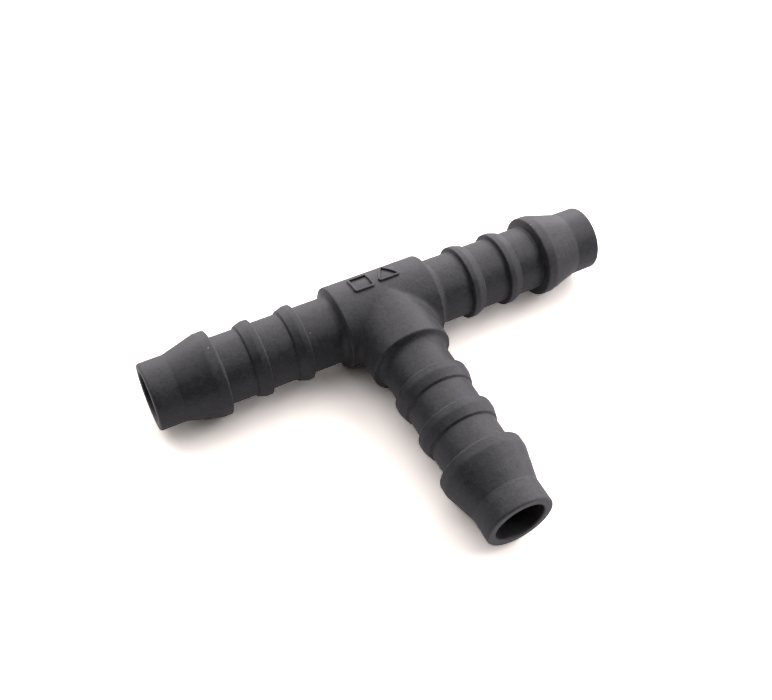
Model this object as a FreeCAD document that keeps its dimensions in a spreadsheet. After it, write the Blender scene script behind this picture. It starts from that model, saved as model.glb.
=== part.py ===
import FreeCAD, Part
import Sketcher
import os

# Barbed tee connector for 8 mm hose.
#
# One moulded piece: a straight run with a barbed spigot at each end and a
# third barbed spigot square to it.  The ribs of the branch are a little wider
# than those of the run.
#
# Frame: millimetres, +Z up, origin where the two bore axes cross.
#   run bore      along X, spigot tips at x = -run_half_length / +run_half_length
#   branch bore   along Y, spigot tip at y = -branch_length
#   raised marks  on the +Z side of the hub

DOC = FreeCAD.newDocument("barbed_tee")
X = FreeCAD.Vector(1, 0, 0)
Y = FreeCAD.Vector(0, 1, 0)
RING_TOLERANCE = 1e-4     # how closely an edge must match a ring's place and radius

# ---------------------------------------------------------------- dimensions
SIZES = {
    # overall
    "run_half_length": 28.6,      # axis crossing to the tip of a run spigot
    "branch_length": 31.2,        # axis crossing to the tip of the branch
    "bore_radius": 2.9,
    "core_overrun": 1.0,          # how far a core pin passes beyond its mouth
    # hub and branch boss
    "hub_radius": 5.0,
    "hub_half_length": 6.0,
    "boss_radius": 4.95,
    "boss_reach": 7.95,           # axis crossing to the end of the boss
    "crossing_fillet": 0.8,
    "shoulder_lean": 0.25,        # the shoulders lean outwards by this much
    "shoulder_round": 0.25,
    "shoulder_foot": 0.88,
    # spigot, measured from its tip
    "neck_radius": 4.0,
    "nose_radius": 3.95,
    "nose_length": 3.0,
    "barb_radius": 5.0,
    "barb_ramp_end": 6.85,
    "barb_crown_end": 8.05,
    "barb_back_end": 8.27,
    # ribs: a low step at the foot, a gentle slope, the crown, a steep back
    "rib_step_radius": 4.24,
    "rib_radius": 4.54,
    "run_rib_start": 11.28,
    "run_rib_pitch": 5.08,
    "run_rib_step": 0.16,
    "run_rib_slope": 0.9,
    "run_rib_crown": 0.72,
    "run_rib_back": 0.11,
    "branch_rib_start": 11.38,
    "branch_rib_pitch": 5.32,
    "branch_rib_step": 0.18,
    "branch_rib_slope": 1.08,
    "branch_rib_crown": 0.92,
    "branch_rib_back": 0.12,
    # edges
    "tip_round": 0.25,
    "mouth_round": 0.2,
    "nose_blend": 0.8,
    "ramp_crown_blend": 1.4,
    "crown_back_round": 0.28,
    "rib_step_round": 0.14,
    "rib_slope_blend": 0.8,
    "rib_round": 0.14,
    "foot_fillet": 0.08,
    # raised marks on top of the hub: along is X, across is Y
    "mark_height": 0.25,
    "mark_stroke": 0.32,
    "mark_overrun": 1.0,          # spare pad height, trimmed off again
    "trim_end_inset": 1.0,        # the trim stops this far short of the hub ends
    "trim_reach": 4.0,            # hub surface to the outside of the trim
    "square_centre_along": -2.1,
    "square_centre_across": 1.25,
    "square_side": 2.6,
    "triangle_left": -0.4,
    "triangle_right": 2.8,
    "triangle_base": 0.3,
    "triangle_apex": 3.2,
}

SHEET = DOC.addObject("Spreadsheet::Sheet", "Dimensions")
for row, (alias, size) in enumerate(SIZES.items(), start=1):
    SHEET.set("A%d" % row, alias)
    SHEET.set("B%d" % row, "%s" % size)
    SHEET.setAlias("B%d" % row, alias)
DOC.recompute()

BODY = DOC.addObject("PartDesign::Body", "tee_body")
BODY.Label = "tee_body"


# --------------------------------------------------------------- expressions
# Sizes and places are written as expressions with {alias} for each dimension.
REFERENCES = {alias: "Dimensions.%s" % alias for alias in SIZES}
NUMBERS = {alias: "(%r)" % size for alias, size in SIZES.items()}


def bound(expression):
    """The expression with each {alias} turned into a sheet reference."""
    return expression.format(**REFERENCES)


def value(expression):
    """The number the expression comes to."""
    return float(SHEET.evalExpression(expression.format(**NUMBERS)))


# ------------------------------------------------------------------- helpers
def new_sketch(name, role):
    """Empty sketch in the body on the origin plane with the given role."""
    plane = next(f for f in BODY.Origin.OriginFeatures if f.Role == role)
    sketch = BODY.newObject("Sketcher::SketchObject", name)
    sketch.AttachmentSupport = [(plane, "")]
    sketch.MapMode = "FlatFace"
    return sketch


def closed_polygon(sketch, points):
    """Closed outline through (x, y) expressions, each corner bound to the sheet."""
    corners = [FreeCAD.Vector(value(x), value(y), 0) for x, y in points]
    first = sketch.GeometryCount
    count = len(points)
    for i in range(count):
        sketch.addGeometry(Part.LineSegment(corners[i], corners[(i + 1) % count]), False)
    for i in range(count):
        sketch.addConstraint(Sketcher.Constraint(
            "Coincident", first + i, 2, first + (i + 1) % count, 1))
    for i, (x, y) in enumerate(points):
        for kind, expression, distance in (("DistanceX", x, corners[i].x),
                                           ("DistanceY", y, corners[i].y)):
            index = sketch.addConstraint(
                Sketcher.Constraint(kind, -1, 1, first + i, 1, distance))
            if expression != "0":
                sketch.setExpression("Constraints[%d]" % index, bound(expression))


def turn(kind, name, profile, axis):
    """Full revolution or groove of a profile about one of its sketch axes."""
    DOC.recompute()
    feature = BODY.newObject("PartDesign::" + kind, name)
    feature.Profile = profile
    feature.ReferenceAxis = (profile, [axis])
    feature.Angle = 360.0
    DOC.recompute()
    return feature


def round_edges(base, name, edges, radius_alias, refine=True):
    """Fillet the named edges of the base feature."""
    if not edges:
        raise RuntimeError("no edges for " + name)
    feature = BODY.newObject("PartDesign::Fillet", name)
    feature.Base = (base, edges)
    feature.Refine = refine
    feature.setExpression("Radius", bound("{%s}" % radius_alias))
    DOC.recompute()
    if "Invalid" in feature.State or "Error" in feature.State:
        raise RuntimeError("fillet failed: " + name)
    return feature


def ring_edges(feature, axis, rings):
    """Names of the circular edges round an axis at the given (place, radius)."""
    names = []
    for number, edge in enumerate(feature.Shape.Edges, start=1):
        curve = edge.Curve
        if not isinstance(curve, Part.Circle):
            continue
        along = curve.Center.dot(axis)
        off_axis = (curve.Center - axis * along).Length
        if off_axis > RING_TOLERANCE or abs(abs(curve.Axis.dot(axis)) - 1.0) > 1e-6:
            continue
        for place, radius in rings:
            if (abs(along - place) < RING_TOLERANCE
                    and abs(curve.Radius - radius) < RING_TOLERANCE):
                names.append("Edge%d" % number)
    return names


def round_rings(base, name, run, branch, radius_alias, refine=True):
    """Fillet rings given as (distance from the axis crossing, radius).

    Run rings are taken at both ends of the run.
    """
    run_rings = [(side * place, radius) for place, radius in run for side in (1, -1)]
    branch_rings = [(-place, radius) for place, radius in branch]
    edges = ring_edges(base, X, run_rings) + ring_edges(base, Y, branch_rings)
    if len(edges) < len(run_rings) + len(branch_rings):
        raise RuntimeError("%s: a ring is missing" % name)
    return round_edges(base, name, edges, radius_alias, refine)


# ------------------------------------------------------------ spigot profile
def spigot(leg, tip_place):
    """Corners of a "run" or "branch" spigot, tip first.

    Each corner is (distance from the axis crossing, radius, kind of corner).
    """
    # distance from the tip, radius, kind of corner
    corners = [
        ("0", "{nose_radius}", "nose tip"),
        ("{nose_length}", "{nose_radius}", "nose end"),
        ("{barb_ramp_end}", "{barb_radius}", "ramp end"),
        ("{barb_crown_end}", "{barb_radius}", "crown end"),
        ("{barb_back_end}", "{neck_radius}", "foot"),
    ]
    start, pitch, step, slope, crown, back = [
        "{%s_rib_%s}" % (leg, word)
        for word in ("start", "pitch", "step", "slope", "crown", "back")]
    for place in (start, "(%s + %s)" % (start, pitch)):
        corners.append((place, "{neck_radius}", "foot"))
        for stretch, radius, kind in (
                (step, "{rib_step_radius}", "step top"),
                (slope, "{rib_radius}", "slope end"),
                (crown, "{rib_radius}", "rib back"),
                (back, "{neck_radius}", "foot")):
            place += " + " + stretch
            corners.append((place, radius, kind))
    return [("%s - (%s)" % (tip_place, place), radius, kind)
            for place, radius, kind in corners]


RUN_SPIGOT = spigot("run", "{run_half_length}")
BRANCH_SPIGOT = spigot("branch", "{branch_length}")


def corner_rings(corners, wanted):
    """(distance from the axis crossing, radius) of one kind of spigot corner."""
    return [(value(place), value(radius))
            for place, radius, kind in corners if kind == wanted]


# -------------------------------------------------------------------- pieces
def turn_run():
    """Both run spigots and the hub, turned about X."""
    shoulder = [
        ("{hub_half_length} + {shoulder_lean}", "{neck_radius}"),
        ("{hub_half_length}", "{hub_radius}"),
    ]
    half = [("{run_half_length}", "0")]
    half += [(place, radius) for place, radius, _ in RUN_SPIGOT]
    half += shoulder
    mirrored = [("-(%s)" % place, radius) for place, radius in half]
    profile = new_sketch("run_profile", "XY_Plane")
    closed_polygon(profile, mirrored + half[::-1])
    turn("Revolution", "run_turned", profile, "H_Axis")


def draw_square(outline, inset):
    """Square mark, moved in by the inset on every side."""
    left, right, low, high = [
        "({square_centre_%s} %s ({square_side} / 2 - %s))" % (direction, sign, inset)
        for direction in ("along", "across") for sign in "-+"]
    closed_polygon(outline, [(left, low), (right, low), (right, high), (left, high)])


def draw_triangle(outline):
    """Triangle mark and the same outline moved in by one stroke on every side."""
    middle = "(({triangle_left} + {triangle_right}) / 2)"
    half = "(({triangle_right} - {triangle_left}) / 2)"
    rise = "({triangle_apex} - {triangle_base})"
    flank = "sqrt(%s * %s + %s * %s)" % (half, half, rise, rise)
    foot_shift = "({mark_stroke} * (%s + %s) / %s)" % (flank, half, rise)
    apex_shift = "({mark_stroke} * %s / %s)" % (flank, half)
    closed_polygon(outline, [
        ("{triangle_left}", "{triangle_base}"),
        ("{triangle_right}", "{triangle_base}"),
        (middle, "{triangle_apex}"),
    ])
    closed_polygon(outline, [
        ("{triangle_left} + %s" % foot_shift, "{triangle_base} + {mark_stroke}"),
        ("{triangle_right} - %s" % foot_shift, "{triangle_base} + {mark_stroke}"),
        (middle, "{triangle_apex} - %s" % apex_shift),
    ])


def raise_marks():
    """Square and triangle outlines, padded up and trimmed concentric with the hub."""
    outline = new_sketch("marks_outline", "XY_Plane")
    draw_square(outline, "0")
    draw_square(outline, "{mark_stroke}")
    draw_triangle(outline)
    DOC.recompute()

    raised = BODY.newObject("PartDesign::Pad", "marks_raised")
    raised.Profile = outline
    raised.setExpression(
        "Length", bound("{hub_radius} + 2 * {mark_height} + {mark_overrun}"))
    DOC.recompute()

    trim_end = "({hub_half_length} - {trim_end_inset})"
    skin = "{hub_radius} + {mark_height}"
    outside = "{hub_radius} + {trim_reach}"
    profile = new_sketch("marks_skin", "XY_Plane")
    closed_polygon(profile, [
        ("-" + trim_end, skin),
        (trim_end, skin),
        (trim_end, outside),
        ("-" + trim_end, outside),
    ])
    turn("Groove", "marks_trimmed", profile, "H_Axis")


def turn_branch():
    """Boss and third spigot, turned about Y."""
    points = [("0", "-{branch_length}")]
    points += [(radius, "-(%s)" % place) for place, radius, _ in BRANCH_SPIGOT]
    points += [
        ("{neck_radius}", "-({boss_reach} + {shoulder_lean})"),
        ("{boss_radius}", "-{boss_reach}"),
        ("{boss_radius}", "0"),
        ("0", "0"),
    ]
    profile = new_sketch("branch_profile", "XY_Plane")
    closed_polygon(profile, points)
    return turn("Revolution", "branch_turned", profile, "V_Axis")


def blend_valley(base):
    """Soft valley where the boss grows out of the hub."""
    slack = 0.1
    least_height = 2.0        # passes over the small edges of the marks
    edges = []
    for number, edge in enumerate(base.Shape.Edges, start=1):
        if isinstance(edge.Curve, (Part.Circle, Part.Line)):
            continue
        box = edge.BoundBox
        if (box.YMax < slack and box.YMin > -SIZES["hub_radius"] - slack
                and box.ZLength > least_height):
            edges.append("Edge%d" % number)
    return round_edges(base, "valley_blend", edges, "crossing_fillet")


def round_shoulders(base):
    """Rims and feet of the shoulders at the ends of the hub and the boss."""
    lean, neck = SIZES["shoulder_lean"], SIZES["neck_radius"]
    hub_end, boss_end = SIZES["hub_half_length"], SIZES["boss_reach"]
    base = round_rings(base, "shoulder_rounds", [(hub_end, SIZES["hub_radius"])],
                       [(boss_end, SIZES["boss_radius"])], "shoulder_round")
    return round_rings(base, "shoulder_feet", [(hub_end + lean, neck)],
                       [(boss_end + lean, neck)], "shoulder_foot")


def round_spigots(base):
    """The corners of all three spigots, one kind at a time."""
    # feature name, kind of corner, radius
    for name, kind, radius_alias in (
            ("tip_rounds", "nose tip", "tip_round"),
            ("nose_blends", "nose end", "nose_blend"),
            ("ramp_crown_blends", "ramp end", "ramp_crown_blend"),
            ("crown_back_rounds", "crown end", "crown_back_round"),
            ("rib_step_rounds", "step top", "rib_step_round"),
            ("rib_slope_blends", "slope end", "rib_slope_blend"),
            ("rib_back_rounds", "rib back", "rib_round"),
            ("foot_fillets", "foot", "foot_fillet")):
        base = round_rings(base, name, corner_rings(RUN_SPIGOT, kind),
                           corner_rings(BRANCH_SPIGOT, kind), radius_alias)


def core_pin(name, role, length_alias, direction):
    """Bore from the axis crossing out through the mouth in the given direction."""
    reach = "{%s} + {core_overrun}" % length_alias
    ring = new_sketch(name + "_ring", role)
    ring.addGeometry(Part.Circle(FreeCAD.Vector(0, 0, 0), FreeCAD.Vector(0, 0, 1),
                                 SIZES["bore_radius"]), False)
    ring.addConstraint(Sketcher.Constraint("Coincident", 0, 3, -1, 1))
    index = ring.addConstraint(Sketcher.Constraint("Radius", 0, SIZES["bore_radius"]))
    ring.setExpression("Constraints[%d]" % index, bound("{bore_radius}"))
    DOC.recompute()

    pin = BODY.newObject("PartDesign::Pocket", name)
    pin.Profile = ring
    pin.Type = "Length"
    pin.setExpression("Length", bound(reach))
    pin.Refine = False
    DOC.recompute()
    # a point still in material means that the pocket went the other way
    probe = direction * 0.5 * value(reach)
    if pin.Shape.isInside(probe, 1e-6, True):
        pin.Reversed = True
        DOC.recompute()
    if pin.Shape.isInside(probe, 1e-6, True):
        raise RuntimeError(name + " doesn't reach its own mouth")
    return pin


def cut_bores():
    """Three core pins meeting at the crossing, then their rounded mouths.

    Each pin keeps its own wall face, so nothing is refined here.
    """
    core_pin("right_core", "YZ_Plane", "run_half_length", X)
    core_pin("left_core", "YZ_Plane", "run_half_length", -X)
    last_core = core_pin("branch_core", "XZ_Plane", "branch_length", -Y)
    bore = SIZES["bore_radius"]
    round_rings(last_core, "mouth_rounds", [(SIZES["run_half_length"], bore)],
                [(SIZES["branch_length"], bore)], "mouth_round", refine=False)


turn_run()
raise_marks()
branch_turned = turn_branch()
valley_blend = blend_valley(branch_turned)
shoulder_feet = round_shoulders(valley_blend)
round_spigots(shoulder_feet)
cut_bores()
DOC.recompute()

# -------------------------------------------------------------------- output
for obj in DOC.Objects:
    if "Invalid" in obj.State or "Error" in obj.State:
        raise RuntimeError("%s is %s" % (obj.Name, obj.State))
if len(BODY.Shape.Solids) != 1 or not BODY.Shape.isValid():
    raise RuntimeError("tee_body is not one valid solid")

os.makedirs("parts", exist_ok=True)
BODY.Shape.exportStep(os.path.join("parts", BODY.Label + ".step"))
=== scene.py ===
"""Moulded plastic tee fitting with ribbed spigots, and a raised square and triangle on its hub.

The bore axes cross at the origin. The run lies along X, the branch points to -Y, and the
parting plane is z = 0. Shapes are worked out in millimetres and built in metres.
"""
import math

import bmesh
import bpy
import numpy as np
from mathutils import Matrix, Vector


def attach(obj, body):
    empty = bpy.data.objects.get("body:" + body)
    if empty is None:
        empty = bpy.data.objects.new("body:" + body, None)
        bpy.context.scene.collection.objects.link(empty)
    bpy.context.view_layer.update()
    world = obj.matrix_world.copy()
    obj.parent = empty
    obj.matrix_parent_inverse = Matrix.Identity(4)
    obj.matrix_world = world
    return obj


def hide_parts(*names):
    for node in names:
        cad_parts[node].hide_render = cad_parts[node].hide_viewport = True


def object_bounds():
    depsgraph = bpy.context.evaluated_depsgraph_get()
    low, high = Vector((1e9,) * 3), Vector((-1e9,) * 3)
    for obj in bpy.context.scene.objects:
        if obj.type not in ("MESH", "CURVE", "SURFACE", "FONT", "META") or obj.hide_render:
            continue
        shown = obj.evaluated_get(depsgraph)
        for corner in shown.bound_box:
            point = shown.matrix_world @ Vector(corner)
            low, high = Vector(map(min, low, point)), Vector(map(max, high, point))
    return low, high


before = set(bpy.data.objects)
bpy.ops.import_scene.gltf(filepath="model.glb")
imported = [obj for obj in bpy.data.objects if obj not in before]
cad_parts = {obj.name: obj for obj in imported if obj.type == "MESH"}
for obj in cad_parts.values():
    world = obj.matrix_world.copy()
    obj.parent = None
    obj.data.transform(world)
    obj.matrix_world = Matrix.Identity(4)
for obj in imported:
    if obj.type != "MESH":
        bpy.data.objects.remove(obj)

CAD_LO, CAD_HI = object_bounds()
MM = 0.001
SCENE = bpy.context.scene

# ---------------------------------------------------------------------------
# Dimensions of the moulding, in millimetres
# ---------------------------------------------------------------------------
INSET = 0.018            # the skin sits this far inside the CAD size
PARTING = 0.016          # the parting line stands this far out of the skin
HUB_R, HUB_END = 5.0 - INSET, 6.0          # hub, along the run
BOSS_R, BOSS_END = 4.95 - INSET, 7.95      # boss, along the branch
VALLEY = 0.94            # size of the fillet where hub and boss cross
BORE_R = 2.9
BORE_START = 4.2         # nearer the centre than this, the bore rows bend to the seams
BORE_ROW = 1.4           # least distance between rows of the straight bore
RUN_TIP, BRANCH_TIP = 28.6, 31.2

SHOULDER = 0.25          # rounding of the hub and boss rims
SHOULDER_LEAN = 0.25     # how far the rim walls lean outwards
SHOULDER_FOOT = 0.88     # fillet where a neck leaves its rim wall

NECK_R = 4.0 - INSET
RIB_R = 4.54 - INSET
RIB_STEP_R = 4.24 - INSET
COLLAR_R = 5.0 - INSET
NOSE_R = 3.95 - INSET
FOOT_ROUND = 0.08        # rounding where ribs and collar meet the neck

# Rib stations, as distances back from the tip: foot, step, slope end, crown end, back
RUN_RIBS = ((16.36, 16.52, 17.42, 18.14, 18.25),
            (11.28, 11.44, 12.34, 13.06, 13.17))
BRANCH_RIBS = ((16.70, 16.88, 17.96, 18.88, 19.00),
               (11.38, 11.56, 12.64, 13.56, 13.68))

# Spacing of the rows along a spigot
LONGEST_ROW = 0.75
EDGE_ROW = 0.07          # narrow row beside each rounding
SHORTEST_SPLIT = 0.3     # straights no longer than this stay whole

# Seam to plain tube
BLEND_ROWS = 11
BLEND_GRADING = 1.15
BRANCH_BLEND_END = 6.3


def half_angles():
    """Angles from top to bottom of a tube, closer together at the parting line."""
    even = np.linspace(0.0, math.pi, 65)
    parting = math.pi / 2 + np.radians([-1.5, -0.9, -0.45, 0.45, 0.9, 1.5])
    return np.unique(np.concatenate([even, parting]))


HALF = half_angles()
THETA = np.concatenate([HALF, 2 * math.pi - HALF[-2:0:-1]])
SIN, COS = np.sin(THETA), np.cos(THETA)


# ---------------------------------------------------------------------------
# Outlines with rounded corners
# ---------------------------------------------------------------------------
def corner_arc(before, corner, after, radius, steps):
    """Arc rounding a corner, as (point, direction from the arc's centre) pairs."""
    to_before, to_after = before - corner, after - corner
    to_before = to_before / np.linalg.norm(to_before)
    to_after = to_after / np.linalg.norm(to_after)
    turn = math.acos(max(-1.0, min(1.0, float(to_before @ to_after))))
    cut = radius / math.tan(turn / 2)
    middle = to_before + to_after
    centre = corner + middle / np.linalg.norm(middle) * radius / math.sin(turn / 2)
    first = corner + to_before * cut - centre
    last = corner + to_after * cut - centre
    start = math.atan2(first[1], first[0])
    sweep = (math.atan2(last[1], last[0]) - start + math.pi) % (2 * math.pi) - math.pi
    arc = []
    for k in range(steps + 1):
        angle = start + sweep * k / steps
        direction = np.array([math.cos(angle), math.sin(angle)])
        arc.append((centre + radius * direction, direction))
    return arc


def arc_profile(corners):
    """Corners (distance, radius, rounding, arc steps) to a polyline with graded rows."""
    points = [np.array(c[:2], float) for c in corners]
    runs = [[points[0]]]
    for i in range(1, len(corners) - 1):
        arc = corner_arc(*points[i - 1:i + 2], *corners[i][2:])
        runs.append([point for point, _ in arc])
    runs.append([points[-1]])

    profile = [points[0]]
    for run in runs[1:]:
        a, b = profile[-1], run[0]
        length = np.linalg.norm(b - a)
        if length > SHORTEST_SPLIT:
            inside = length - 2 * EDGE_ROW
            n = max(1, int(math.ceil(inside / LONGEST_ROW)))
            marks = [EDGE_ROW + inside * k / n for k in range(n)] + [length - EDGE_ROW]
            profile += [a + (b - a) * m / length for m in marks]
        profile += run
    return profile


def spigot_corners(tip, shoulder_end, shoulder_r, ribs):
    """Corners of one spigot: from the hub out to its mouth, then back down the bore."""
    corners = [(shoulder_end - SHOULDER, shoulder_r, 0, 0),
               (shoulder_end, shoulder_r, SHOULDER, 5),
               (shoulder_end + SHOULDER_LEAN, NECK_R, SHOULDER_FOOT, 8)]
    for foot, step, slope_end, crown_end, back in ribs:
        corners += [(tip - back, NECK_R, FOOT_ROUND, 3),
                    (tip - crown_end, RIB_R, 0.14, 4),
                    (tip - slope_end, RIB_R, 0.8, 3),
                    (tip - step, RIB_STEP_R, 0.14, 3),
                    (tip - foot, NECK_R, FOOT_ROUND, 3)]
    # collar, cone down to the nose, rounded mouth, bore
    return corners + [(tip - 8.27, NECK_R, FOOT_ROUND, 3),
                      (tip - 8.05, COLLAR_R, 0.23, 6),
                      (tip - 6.85, COLLAR_R, 1.4, 5),
                      (tip - 3.0, NOSE_R, 0.4, 4),
                      (tip, NOSE_R, 0.25, 5),
                      (tip, BORE_R, 0.2, 4),
                      (BORE_START, BORE_R, 0, 0)]


def thin_bore_rows(profile, tip):
    """Drops rows of the straight bore wall that are closer than they need be."""
    kept, last = [], None
    for row, (u, r) in enumerate(profile):
        straight_bore = abs(r - BORE_R) < 1e-9 and u < tip - 1.0
        too_close = straight_bore and last is not None and last - u < BORE_ROW
        if too_close and row != len(profile) - 1:
            continue
        kept.append((u, r))
        last = u if straight_bore else None
    return kept


# ---------------------------------------------------------------------------
# Blended surface of the hub, as distance fields
# ---------------------------------------------------------------------------
def hub_field(p):
    return np.hypot(p[:, 1], p[:, 2]) - HUB_R


def boss_field(p):
    """The boss, closed behind the crossing by a ball that stays inside the hub."""
    ball, tube = np.linalg.norm(p, axis=1), np.hypot(p[:, 0], p[:, 2])
    return np.where(p[:, 1] > 0, ball, tube) - BOSS_R


def gradient(field, p, step=1e-4):
    slope = np.empty_like(p)
    for axis in range(3):
        offset = np.zeros(3)
        offset[axis] = step
        slope[:, axis] = (field(p + offset) - field(p - offset)) / (2 * step)
    return slope


def crossing_field(p):
    """Hub and boss joined by a blend sized by the angle between them, like a rolling ball's."""
    hub, boss = hub_field(p), boss_field(p)
    hub_slope, boss_slope = gradient(hub_field, p), gradient(boss_field, p)
    lengths = np.linalg.norm(hub_slope, axis=1) * np.linalg.norm(boss_slope, axis=1)
    cosine = (hub_slope * boss_slope).sum(1) / np.maximum(1e-9, lengths)
    size = VALLEY * np.clip(1 - cosine, 0.0, 2.0) + 1e-6
    overlap = np.maximum(size - np.abs(hub - boss), 0) / size
    return np.minimum(hub, boss) - overlap * overlap * size / 4


def settle(points):
    """Moves points onto the blended hub surface."""
    points = points.copy()
    for _ in range(12):
        distance = crossing_field(points)
        slope = gradient(crossing_field, points)
        points -= (distance / np.maximum(1e-6, (slope * slope).sum(1)))[:, None] * slope
    return points


# ---------------------------------------------------------------------------
# The skin: three tubes that share seams at the hub, outside and bores in one closed sheet
# ---------------------------------------------------------------------------
VERTS, FACES = [], []


def add_vertices(points):
    start = len(VERTS)
    VERTS.extend(points.tolist())
    return list(range(start, len(VERTS)))


def seam_rings(radius, outer):
    """Adds the seam lines (right valley, left valley, back); returns each tube's ring."""
    s, c = np.sin(HALF), np.cos(HALF)
    right = np.stack([radius * s, -radius * s, radius * c], 1)
    left = right * (-1, 1, 1)
    back = np.stack([0 * s, radius * s, radius * c], 1)
    if outer:
        right, left, back = settle(right), settle(left), settle(back)
        right[:, 0] = np.abs(right[:, 0])
        for line in (right, left, back):
            line[[0, -1], :2] = 0
    # the three lines share their top and bottom points
    right = add_vertices(right)
    left = [right[0]] + add_vertices(left[1:-1]) + [right[-1]]
    back = [right[0]] + add_vertices(back[1:-1]) + [right[-1]]
    return {"right": right + back[-2:0:-1],
            "left": left + back[-2:0:-1],
            "branch": right + left[-2:0:-1]}


def place(kind, u, r):
    """Ring round a tube at radius r and distance u, which may differ for each angle."""
    u = np.broadcast_to(u, SIN.shape)
    if kind == "branch":
        return np.stack([r * SIN, -u, r * COS], 1)
    sign = 1 if kind == "right" else -1
    return np.stack([sign * u, -r * SIN, r * COS], 1)


def ring_distance(kind, ring):
    """Distance of each point of a seam ring along its tube."""
    points = np.array([VERTS[i] for i in ring])
    return -points[:, 1] if kind == "branch" else np.abs(points[:, 0])


def add_tube(kind, outer_ring, inner_ring, tip, shoulder_end, shoulder_r,
             blend_end, plain_rows, ribs):
    profile = arc_profile(spigot_corners(tip, shoulder_end, shoulder_r, ribs))
    profile = thin_bore_rows(profile, tip)

    # hub rows, from the bent outer seam to the plain tube, ending on the profile's first row
    seam_u = ring_distance(kind, outer_ring)
    hub_rows = []
    for k in range(1, BLEND_ROWS + 1):
        w = (k / BLEND_ROWS) ** BLEND_GRADING
        hub_rows.append(seam_u * (1 - w) + blend_end * w)
    rings = [outer_ring]
    for u in hub_rows + list(plain_rows):
        rings.append(add_vertices(settle(place(kind, u, shoulder_r))))

    for u, r in profile[1:]:
        rings.append(add_vertices(place(kind, u, r)))

    # the bore wall closes onto the inner seam
    seam_u = ring_distance(kind, inner_ring)
    for k in range(1, 4):
        w = k / 4
        rings.append(add_vertices(place(kind, seam_u * w + BORE_START * (1 - w), BORE_R)))
    rings.append(inner_ring)

    count = len(THETA)
    for a, b in zip(rings[:-1], rings[1:]):
        for j in range(count):
            k = (j + 1) % count
            FACES.append((a[j], a[k], b[k], b[j]))


def new_mesh(name, points, faces):
    mesh = bpy.data.meshes.new(name)
    mesh.from_pydata((np.asarray(points) * MM).tolist(), [], faces)
    mesh.update()
    turn_outward(mesh)
    return mesh


def turn_outward(mesh):
    bm = bmesh.new()
    bm.from_mesh(mesh)
    bmesh.ops.recalc_face_normals(bm, faces=bm.faces)
    if bm.calc_volume(signed=True) < 0:
        bmesh.ops.reverse_faces(bm, faces=bm.faces)
    bm.to_mesh(mesh)
    bm.free()


def new_object(name, data):
    obj = bpy.data.objects.new(name, data)
    SCENE.collection.objects.link(obj)
    return obj


def smooth_noise(points, seed, wave):
    """Slow unevenness, about -1 to 1; wave is the typical wavelength in millimetres."""
    rng = np.random.default_rng(seed)
    total = np.zeros(len(points))
    for _ in range(7):
        k = rng.normal(size=3)
        k *= 2 * math.pi / (wave * rng.uniform(0.7, 1.6)) / np.linalg.norm(k)
        total += np.sin(points @ k + rng.uniform(0, 2 * math.pi))
    return total / 7 * 1.6


def add_unevenness(mesh):
    """Slow moulding unevenness and the parting line, along the vertex normals."""
    count = len(mesh.vertices)
    co = np.empty(count * 3)
    normals = np.empty(count * 3)
    mesh.vertices.foreach_get("co", co)
    mesh.vertex_normals.foreach_get("vector", normals)
    co = co.reshape(-1, 3) / MM
    normals = normals.reshape(-1, 3)

    # the distance from the tube's own axis tells outside from bore
    on_branch = co[:, 1] < -5.05
    radius = np.where(on_branch, np.hypot(co[:, 0], co[:, 2]), np.hypot(co[:, 1], co[:, 2]))
    outside = radius > 3.6

    wobble = 0.5 * (smooth_noise(co, seed=11, wave=5.0) - 1.0) * 0.012
    off_parting = np.abs(co[:, 2]) / np.maximum(radius, 1.0)      # radians, nearly
    height = PARTING + 0.004 * smooth_noise(co, seed=5, wave=2.2)
    ridge = np.clip(height * np.exp(-(off_parting / 0.0105) ** 2), 0, INSET - 0.001)
    calm = 1 - np.exp(-(off_parting / 0.02) ** 2)       # no wobble on the parting line

    # end faces, whose normals run along the tube, stay flat
    across = np.abs(normals[:, 2]) + np.where(on_branch, np.abs(normals[:, 0]),
                                              np.abs(normals[:, 1]))
    side_facing = np.clip((across - 0.35) / 0.3, 0, 1)
    shift = np.where(outside, (wobble * calm + ridge) * side_facing, 0.0)
    co += normals * shift[:, None]
    mesh.vertices.foreach_set("co", (co * MM).ravel())
    mesh.update()


def moulding():
    outer = seam_rings((HUB_R + BOSS_R) / 2, outer=True)
    inner = seam_rings(BORE_R, outer=False)
    for kind in ("right", "left"):
        add_tube(kind, outer[kind], inner[kind], tip=RUN_TIP,
                 shoulder_end=HUB_END, shoulder_r=HUB_R,
                 blend_end=HUB_END - SHOULDER, plain_rows=(), ribs=RUN_RIBS)
    add_tube("branch", outer["branch"], inner["branch"], tip=BRANCH_TIP,
             shoulder_end=BOSS_END, shoulder_r=BOSS_R,
             blend_end=BRANCH_BLEND_END, plain_rows=(6.7, 7.1, 7.5, BOSS_END - SHOULDER),
             ribs=BRANCH_RIBS)
    mesh = new_mesh("tee_moulding", VERTS, FACES)
    add_unevenness(mesh)
    return new_object("tee_moulding", mesh)


# ---------------------------------------------------------------------------
# Raised marks on top of the hub: rounded strips round a square and a triangle
# ---------------------------------------------------------------------------
STROKE_INSET = 0.16      # the middle of a strip lies this far inside the mark's outline
MARK_ROUND, MARK_ARC_STEPS = 0.2, 5
MARK_SPACING = 0.16
# Strip section: outward from its middle, height above the hub
STROKE_SECTION = [
    (-0.19, -0.35), (-0.172, -0.02), (-0.161, 0.06), (-0.148, 0.15), (-0.130, 0.205),
    (-0.095, 0.24), (-0.042, 0.25), (0.042, 0.25), (0.095, 0.24), (0.130, 0.205),
    (0.148, 0.15), (0.161, 0.06), (0.172, -0.02), (0.19, -0.35)]
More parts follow.
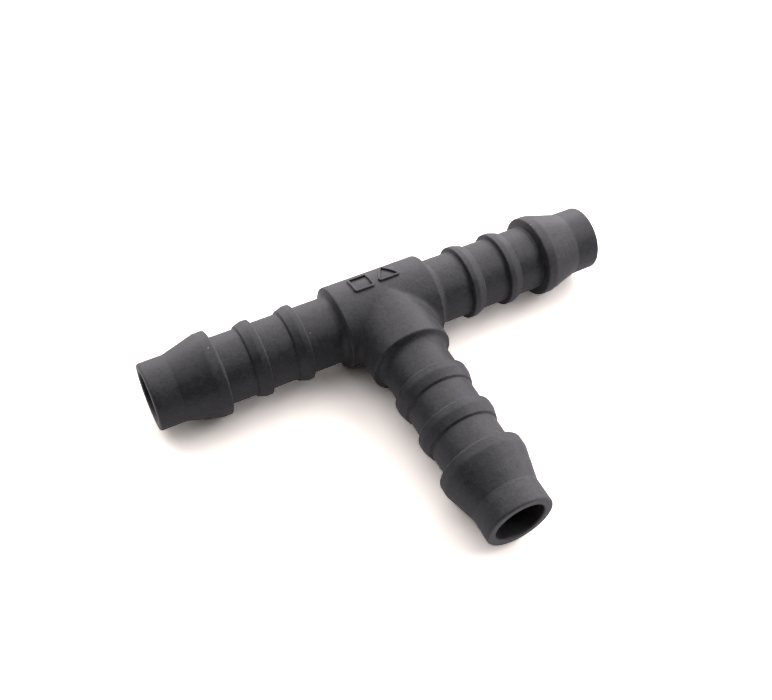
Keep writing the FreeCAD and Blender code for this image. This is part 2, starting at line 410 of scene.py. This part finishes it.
# Outlines (x, y), anticlockwise
SQUARE = [(-3.4, -0.05), (-0.8, -0.05), (-0.8, 2.55), (-3.4, 2.55)]
TRIANGLE = [(-0.4, 0.3), (2.8, 0.3), (1.2, 3.2)]


def inset_polygon(corners, distance):
    """An anticlockwise polygon moved in by the distance on every side."""
    points = [np.array(c, float) for c in corners]
    moved = []
    for i, corner in enumerate(points):
        after = points[(i + 1) % len(points)]
        normals = []
        for side in (corner - points[i - 1], after - corner):
            side = side / np.linalg.norm(side)
            normals.append(np.array([-side[1], side[0]]))
        bisector = (normals[0] + normals[1]) / np.linalg.norm(normals[0] + normals[1])
        moved.append(corner + bisector * distance / float(bisector @ normals[0]))
    return moved


def rounded_path(corners):
    """Closed plan path with rounded corners, as (point, outward normal) pairs."""
    count = len(corners)
    arcs = [corner_arc(corners[i - 1], corners[i], corners[(i + 1) % count],
                       MARK_ROUND, MARK_ARC_STEPS) for i in range(count)]
    path = []
    for i, arc in enumerate(arcs):
        path += arc
        a, normal = arc[-1]
        b = arcs[(i + 1) % count][0][0]
        n = max(1, int(round(np.linalg.norm(b - a) / MARK_SPACING)))
        path += [(a + (b - a) * k / n, normal) for k in range(1, n)]
    return path


def mark(name, outline):
    path = rounded_path(inset_polygon(outline, STROKE_INSET))
    points, faces = [], []
    for middle, normal in path:
        for across, height in STROKE_SECTION:
            x, y = middle + normal * across
            points.append((x, y, math.sqrt((HUB_R + height) ** 2 - y ** 2)))
    total, m = len(path), len(STROKE_SECTION)
    for i in range(total):
        row, next_row = i * m, ((i + 1) % total) * m
        for j in range(m):
            k = (j + 1) % m
            faces.append((row + j, row + k, next_row + k, next_row + j))
    return new_object(name, new_mesh(name, points, faces))


# ---------------------------------------------------------------------------
# Joining
# ---------------------------------------------------------------------------
def join_marks(body, marks):
    for other in marks:
        join = body.modifiers.new("join_" + other.name, "BOOLEAN")
        join.operation = "UNION"
        join.solver = "EXACT"
        join.object = other
    depsgraph = bpy.context.evaluated_depsgraph_get()
    joined = bpy.data.meshes.new_from_object(body.evaluated_get(depsgraph),
                                             depsgraph=depsgraph)
    body.modifiers.clear()
    body.data = joined
    joined.name = "tee_moulding"
    for other in marks:
        bpy.data.objects.remove(other)


def tidy(mesh):
    """Cleans up after the union and sets the shading."""
    bm = bmesh.new()
    bm.from_mesh(mesh)
    bmesh.ops.remove_doubles(bm, verts=bm.verts, dist=2e-7)
    bmesh.ops.dissolve_degenerate(bm, edges=bm.edges, dist=1e-7)
    loose = [v for v in bm.verts if not v.link_faces]
    bmesh.ops.delete(bm, geom=loose, context="VERTS")
    ngons = [f for f in bm.faces if len(f.verts) > 4]
    bmesh.ops.triangulate(bm, faces=ngons, quad_method="BEAUTY", ngon_method="BEAUTY")
    bm.to_mesh(mesh)
    bm.free()
    for polygon in mesh.polygons:
        polygon.use_smooth = True
    mesh.set_sharp_from_angle(angle=math.radians(34))


# ---------------------------------------------------------------------------
# Shader nodes
# ---------------------------------------------------------------------------
class Nodes:
    """Builds the node tree of a material or world; inputs take numbers or sockets."""

    def __init__(self, owner):
        owner.use_nodes = True
        self.tree = owner.node_tree

    def feed(self, socket, value):
        if isinstance(value, bpy.types.NodeSocket):
            self.tree.links.new(value, socket)
        else:
            socket.default_value = value

    def add(self, kind, inputs=None, **settings):
        node = self.tree.nodes.new("ShaderNode" + kind)
        for key, value in settings.items():
            setattr(node, key, value)
        for key, value in (inputs or {}).items():
            self.feed(node.inputs[key], value)
        return node

    def maths(self, operation, a, b=None, clamp=False):
        inputs = {0: a} if b is None else {0: a, 1: b}
        return self.add("Math", inputs, operation=operation, use_clamp=clamp).outputs[0]

    def blend(self, factor, a, b):
        inputs = {"Factor": factor, "A": a, "B": b}
        return self.add("Mix", inputs, data_type="RGBA").outputs["Result"]

    def ramp(self, value, over, to=(0.0, 1.0)):
        """Eases from to[0] to to[1] while the value crosses the range over."""
        inputs = {"Value": value, "From Min": over[0], "From Max": over[1],
                  "To Min": to[0], "To Max": to[1]}
        node = self.add("MapRange", inputs, interpolation_type="SMOOTHSTEP")
        return node.outputs["Result"]


def moulded_plastic():
    """Dark grey glass-filled nylon, matte, straight from the mould."""
    mat = bpy.data.materials.new("moulded_plastic")
    nodes = Nodes(mat)
    add, maths, blend, ramp = nodes.add, nodes.maths, nodes.blend, nodes.ramp

    def noise(scale, detail, rough, distortion=0.0):
        return add("TexNoise", {"Vector": mm, "Scale": scale, "Detail": detail,
                                "Roughness": rough, "Distortion": distortion}).outputs["Fac"]

    def times(a, b, clamp=False):
        return maths("MULTIPLY", a, b, clamp)

    # object space in millimetres
    coords = add("TexCoord").outputs["Object"]
    mm = add("VectorMath", {0: coords, "Scale": 1000.0}, operation="SCALE").outputs["Vector"]

    cloud = noise(scale=0.30, detail=4.0, rough=0.55, distortion=0.4)    # slow mottling
    patch = noise(scale=1.3, detail=4.0, rough=0.6)                      # smaller clouds
    grain = noise(scale=11.0, detail=2.0, rough=0.6)                     # mould texture
    fibre = noise(scale=4.2, detail=3.0, rough=0.6)                      # glass fibre

    base = blend(ramp(cloud, over=(0.36, 0.64)),
                 a=(0.0110, 0.0111, 0.0118, 1), b=(0.0165, 0.0165, 0.0172, 1))
    base = blend(ramp(patch, over=(0.35, 0.68), to=(0.0, 0.45)), base,
                 b=(0.0190, 0.0190, 0.0198, 1))
    base = blend(ramp(grain, over=(0.55, 0.80), to=(0.0, 0.38)), base,
                 b=(0.0280, 0.0280, 0.0286, 1))

    # handling wear on the proud edges, partly a painted highlight along the rounded edges,
    # broken up so it never reads as an outline
    proud = add("NewGeometry").outputs["Pointiness"]
    chalk = noise(scale=5.5, detail=4.0, rough=0.72)
    wear_and_highlight_patches = noise(scale=0.9, detail=3.0, rough=0.6)
    wear_and_edge_highlight = times(ramp(proud, over=(0.512, 0.560)),
                 ramp(wear_and_highlight_patches, over=(0.30, 0.62), to=(0.35, 1.0)), clamp=True)
    wear_and_edge_highlight = times(wear_and_edge_highlight, ramp(chalk, over=(0.32, 0.62), to=(0.45, 1.15)), clamp=True)
    base = blend(times(wear_and_edge_highlight, 0.50), base, b=(0.050, 0.0505, 0.052, 1))

    # a few chalky scuffs where parts rubbed against each other in the bag
    scuff = times(ramp(noise(scale=0.42, detail=2.0, rough=0.5), over=(0.56, 0.70)),
                  ramp(chalk, over=(0.42, 0.72)), clamp=True)
    base = blend(times(scuff, 0.26), base, b=(0.052, 0.052, 0.053, 1))

    # painted light: the end faces of the three mouths are painted paler, standing in for extra
    # light falling on them from the front
    where = add("SeparateXYZ", {0: mm}).outputs
    painted_mouth_light = maths("MAXIMUM",
                ramp(maths("ABSOLUTE", where["X"]), over=(RUN_TIP - 0.20, RUN_TIP - 0.04)),
                ramp(times(where["Y"], -1.0), over=(BRANCH_TIP - 0.20, BRANCH_TIP - 0.04)))
    painted_mouth_light = times(painted_mouth_light, ramp(chalk, over=(0.28, 0.60), to=(0.5, 1.0)), clamp=True)
    base = blend(times(painted_mouth_light, 0.60), base, b=(0.070, 0.0705, 0.072, 1))

    # dust caught in the recesses
    hollow = times(ramp(proud, over=(0.492, 0.455)),
                   ramp(noise(scale=1.7, detail=4.0, rough=0.65), over=(0.42, 0.70)),
                   clamp=True)
    base = blend(times(hollow, 0.30), base, b=(0.040, 0.039, 0.037, 1))

    # pale specks of dust and lint in some cells, ragged by shaking the coordinates
    ragged = add("TexNoise", {"Vector": mm, "Scale": 14.0}).outputs["Color"]
    shake = add("VectorMath", {0: ragged, "Scale": 0.16}, operation="SCALE").outputs["Vector"]
    shaken = add("VectorMath", {0: mm, 1: shake}, operation="ADD").outputs["Vector"]
    cells = add("TexVoronoi", {"Vector": shaken, "Scale": 0.62}, feature="F1").outputs
    pick = add("SeparateColor", {"Color": cells["Color"]}).outputs
    size = maths("ADD", times(pick["Green"], 0.045), 0.012)
    near = maths("LESS_THAN", cells["Distance"], size)
    chosen = maths("GREATER_THAN", pick["Red"], 0.80)
    base = blend(times(times(near, chosen), 0.75), base, b=(0.26, 0.25, 0.22, 1))

    rough = ramp(cloud, over=(0.3, 0.7), to=(0.47, 0.55))
    rough = maths("ADD", rough, ramp(patch, over=(0.3, 0.7), to=(-0.035, 0.035)))
    rough = maths("ADD", rough, ramp(fibre, over=(0.35, 0.65), to=(-0.03, 0.03)))
    rough = maths("SUBTRACT", rough, times(wear_and_edge_highlight, 0.07))
    rough = maths("ADD", rough, times(hollow, 0.12), clamp=True)
    rough = maths("ADD", rough, times(scuff, 0.05), clamp=True)

    # specular level varies about one half
    gloss = maths("ADD", ramp(fibre, over=(0.30, 0.70), to=(-0.085, 0.085)),
                  ramp(patch, over=(0.30, 0.70), to=(-0.05, 0.05)))
    gloss = maths("ADD", gloss, 0.5, clamp=True)

    # relief, finest first, with depths in metres
    normal = None
    for depth, height in ((0.0000043, grain), (0.000016, fibre), (0.000035, patch)):
        bump = add("Bump", {"Strength": 1.0, "Distance": depth, "Height": height})
        if normal is not None:
            nodes.feed(bump.inputs["Normal"], normal)
        normal = bump.outputs["Normal"]

    bsdf = nodes.tree.nodes["Principled BSDF"]
    for key, value in {"Base Color": base, "Roughness": rough, "IOR": 1.52,
                       "Sheen Weight": 0.09, "Sheen Roughness": 0.5,
                       "Specular IOR Level": gloss, "Normal": normal}.items():
        nodes.feed(bsdf.inputs[key], value)
    return mat


# ---------------------------------------------------------------------------
# Stage: floor, light, camera
# ---------------------------------------------------------------------------
FLOOR_HALF = 3           # metres
FLOOR_GAIN = 2.01        # exposes the floor past white for the camera
LIGHT_TINT = (0.982, 0.947, 1.003)
# Azimuths of the lights turn from +X towards +Y.
# Broad soft panels round the part: elevation, azimuth, strength
PANELS = [(6, 90, 2.915), (30, 105, 2.788), (55, 90, 0.268),
          (55, 135, 0.890), (55, 180, 0.296), (85, 0, 1.603)]
PANEL_FOCUS = 12.0       # higher makes each panel smaller
# Round soft boxes close to the part: elevation, azimuth, radius and distance (m), strength
SOFT_BOXES = [(6, 30, 0.171, 0.42, 2.217), (6, 60, 0.171, 0.42, 0.874),
              (6, 330, 0.171, 0.42, 1.474), (30, 45, 0.171, 0.42, 2.200),
              (55, 45, 0.171, 0.42, 1.366), (10, 0, 0.080, 0.30, 3.171),
              (45, 0, 0.080, 0.30, 2.949), (45, 330, 0.080, 0.30, 3.163)]


def floor_paper():
    """Paper sweep: past white for the camera, plain pale paper for the light."""
    paper = bpy.data.materials.new("floor_paper")
    nodes = Nodes(paper)
    nodes.tree.nodes.clear()
    seen = nodes.add("LightPath").outputs["Is Camera Ray"]
    bright = (FLOOR_GAIN * 0.896, FLOOR_GAIN * 0.855, FLOOR_GAIN * 0.773, 1)
    colour = nodes.blend(seen, a=(0.625, 0.620, 0.615, 1), b=bright)
    diffuse = nodes.add("BsdfDiffuse", {"Color": colour})
    nodes.add("OutputMaterial", {"Surface": diffuse.outputs[0]})
    return paper


def add_floor():
    s, z = FLOOR_HALF, CAD_LO[2]
    mesh = bpy.data.meshes.new("floor")
    mesh.from_pydata([(-s, -s, z), (s, -s, z), (s, s, z), (-s, s, z)], [], [(0, 1, 2, 3)])
    new_object("floor", mesh)
    mesh.materials.append(floor_paper())


def direction(elevation, azimuth):
    e, a = math.radians(elevation), math.radians(azimuth)
    return Vector((math.cos(e) * math.cos(a), math.cos(e) * math.sin(a), math.sin(e)))


def studio():
    """World lit by the broad panels, plain white to the camera."""
    world = bpy.data.worlds.new("studio")
    nodes = Nodes(world)
    nodes.tree.nodes.clear()
    add, maths = nodes.add, nodes.maths
    view = add("TexCoord").outputs["Generated"]
    total = None
    for elevation, azimuth, strength in PANELS:
        dot = add("VectorMath", {0: view, 1: direction(elevation, azimuth)},
                  operation="DOT_PRODUCT").outputs["Value"]
        falloff = maths("MULTIPLY", maths("SUBTRACT", dot, 1.0), PANEL_FOCUS)
        panel = maths("MULTIPLY", maths("EXPONENT", falloff), strength)
        total = panel if total is None else maths("ADD", total, panel)
    light = add("Background", {"Color": (*LIGHT_TINT, 1), "Strength": total})
    white = add("Background", {"Color": (1, 1, 1, 1), "Strength": 1.0})
    seen = add("LightPath").outputs["Is Camera Ray"]
    mix = add("MixShader", {"Fac": seen, 1: light.outputs[0], 2: white.outputs[0]})
    add("OutputWorld", {"Surface": mix.outputs[0]})
    SCENE.world = world


def soft_box(number, elevation, azimuth, radius, distance, strength):
    """Round soft box aimed at the hub."""
    towards = direction(elevation, azimuth)
    name = "soft_box_%d" % number
    data = bpy.data.lights.new(name, "AREA")
    data.shape = "DISK"
    data.size = 2 * radius
    data.energy = strength * math.pi * math.pi * radius ** 2
    data.color = LIGHT_TINT
    lamp = new_object(name, data)
    turn = towards.to_track_quat("Z", "Y").to_matrix().to_4x4()
    lamp.matrix_world = Matrix.Translation(towards * distance) @ turn
    lamp.visible_camera = False


def camera():
    """Camera in front of and above the part, to its left, looking down at the hub."""
    azimuth = math.radians(-30.24)       # from -Y towards +X
    elevation = math.radians(51.88)
    roll = math.radians(3.56)
    distance = 118.05                    # mm from the hub, before the slides below
    slide_right, slide_up = 0.661361, -4.551442     # mm across the view

    back = Vector((math.sin(azimuth) * math.cos(elevation),
                   -math.cos(azimuth) * math.cos(elevation), math.sin(elevation)))
    level = Vector((math.cos(azimuth), math.sin(azimuth), 0))
    upright = back.cross(level)
    right = level * math.cos(roll) + upright * math.sin(roll)
    up = -level * math.sin(roll) + upright * math.cos(roll)
    position = (back * distance + right * slide_right + up * slide_up) * MM

    data = bpy.data.cameras.new("camera")
    data.sensor_width = 36
    data.sensor_fit = "HORIZONTAL"
    data.lens = 46.529067
    data.clip_start, data.clip_end = 0.005, 20
    obj = new_object("camera", data)
    axes = Matrix((right, up, back)).transposed().to_4x4()
    obj.matrix_world = Matrix.Translation(position) @ axes
    SCENE.camera = obj


# ---------------------------------------------------------------------------
# Build
# ---------------------------------------------------------------------------
body = moulding()
join_marks(body, [mark("mark_square", SQUARE), mark("mark_triangle", TRIANGLE)])
tidy(body.data)

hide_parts("tee_body")
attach(body, "root")
body.data.materials.clear()
body.data.materials.append(moulded_plastic())

add_floor()
studio()
for index, box in enumerate(SOFT_BOXES):
    soft_box(index, *box)
SCENE.view_settings.view_transform = "Standard"
SCENE.view_settings.look = "None"
camera()
